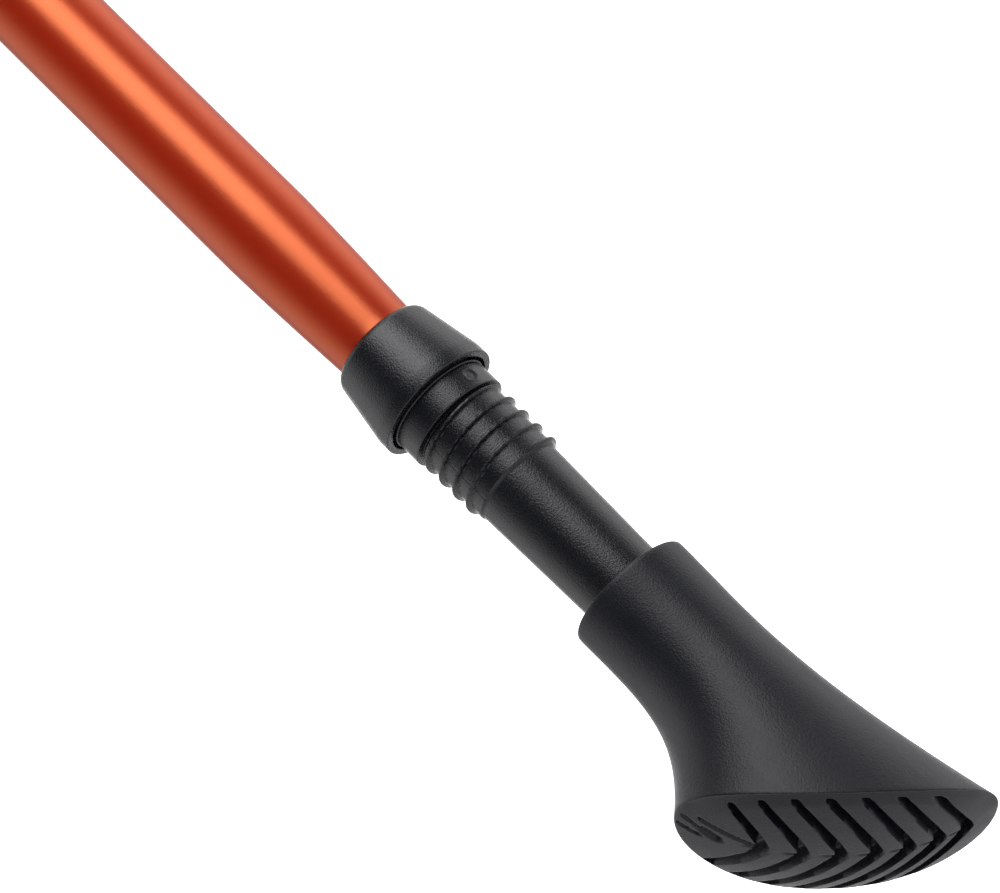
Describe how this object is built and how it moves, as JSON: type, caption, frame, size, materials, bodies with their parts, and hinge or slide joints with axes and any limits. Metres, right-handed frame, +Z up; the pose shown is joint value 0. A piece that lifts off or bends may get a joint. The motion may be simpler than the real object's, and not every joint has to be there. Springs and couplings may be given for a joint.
{
  "type": "nordic walking pole",
  "caption": "Telescopic walking pole with orange tubes, black tip moulding with basket thread, slanted rubber foot, cork grip and half-glove strap.",
  "frame": {"origin": "middle of the hand on the grip, on the tubes' common axis", "axes": "+Z up along the pole to the grip's cap, +Y the walking direction, -Y the side of the strap and of the rubber foot's long end"},
  "size_m": [0.0516, 0.1285, 0.8297],
  "materials": {
    "orange_tube": "orange anodised, satin, fine drawn grain",
    "black_moulding": "fine spark-eroded grain",
    "black_rubber": "smooth, soft sheen",
    "grey_plastic": "plain moulded",
    "steel": "turned",
    "carbide": "ground",
    "brass": "turned",
    "cork": "pressed cork granules, sanded",
    "mitt_fabric": "knitted spacer mesh",
    "webbing": "woven tape"
  },
  "bodies": {
    "root": {"upper_tube": "orange_tube", "tube_bush": "black_moulding", "grip_core": "black_moulding", "grip_cork": "cork", "grip_end_ring": "black_moulding", "grip_head": "black_moulding", "grip_cap": "grey_plastic", "strap_pin": "steel"},
    "strap": {"strap_webbing": "webbing", "strap_mitt": "mitt_fabric", "wrist_cuff": "webbing"},
    "tab": {"closure_tab": "webbing"},
    "lock_sleeve": {"lock_expander": "grey_plastic"},
    "cone": {"lock_cone": "brass"},
    "lower_pole": {"lower_tube": "orange_tube", "lock_plug": "grey_plastic", "lock_spindle": "steel", "spindle_stop": "grey_plastic", "tip_body": "black_moulding", "tip_holder": "steel", "carbide_tip": "carbide"},
    "foot_seat": {"foot_washer": "steel"},
    "foot": {"rubber_foot": "black_rubber"}
  },
  "joints": [
    {"name": "strap_swing", "type": "hinge", "parent": "root", "child": "strap", "pos_m": [0, -0.022, 0.058], "axis": [-1, 0, 0], "range_deg": [0, 60]},
    {"name": "tab_open", "type": "hinge", "parent": "strap", "child": "tab", "pos_m": [-0.0245, -0.0588, -0.03845], "axis": [-0.0452, -0.0192, -0.9988], "range_deg": [0, 100]},
    {"name": "telescope", "type": "slide", "parent": "root", "child": "lock_sleeve", "axis": [0, 0, -1], "range_m": [0, 0.44]},
    {"name": "twist_lock", "type": "hinge", "parent": "lock_sleeve", "child": "lower_pole", "pos_m": [0, 0, -0.045], "axis": [0, 0, 1], "range_deg": [0, 360]},
    {"name": "cone_travel", "type": "slide", "parent": "lock_sleeve", "child": "cone", "axis": [0, 0, -1], "range_m": [0, 0.00201]},
    {"name": "foot_pull_off", "type": "slide", "parent": "lower_pole", "child": "foot_seat", "axis": [0, 0, -1], "range_m": [0, 0.046]},
    {"name": "foot_turn", "type": "hinge", "parent": "foot_seat", "child": "foot", "pos_m": [0, 0, -0.7003], "axis": [0, 0, 1], "continuous": true}
  ],
  "couplings": [
    {"joint": "cone_travel", "follows": "twist_lock", "m_per_rad": 0.00031831}
  ]
}
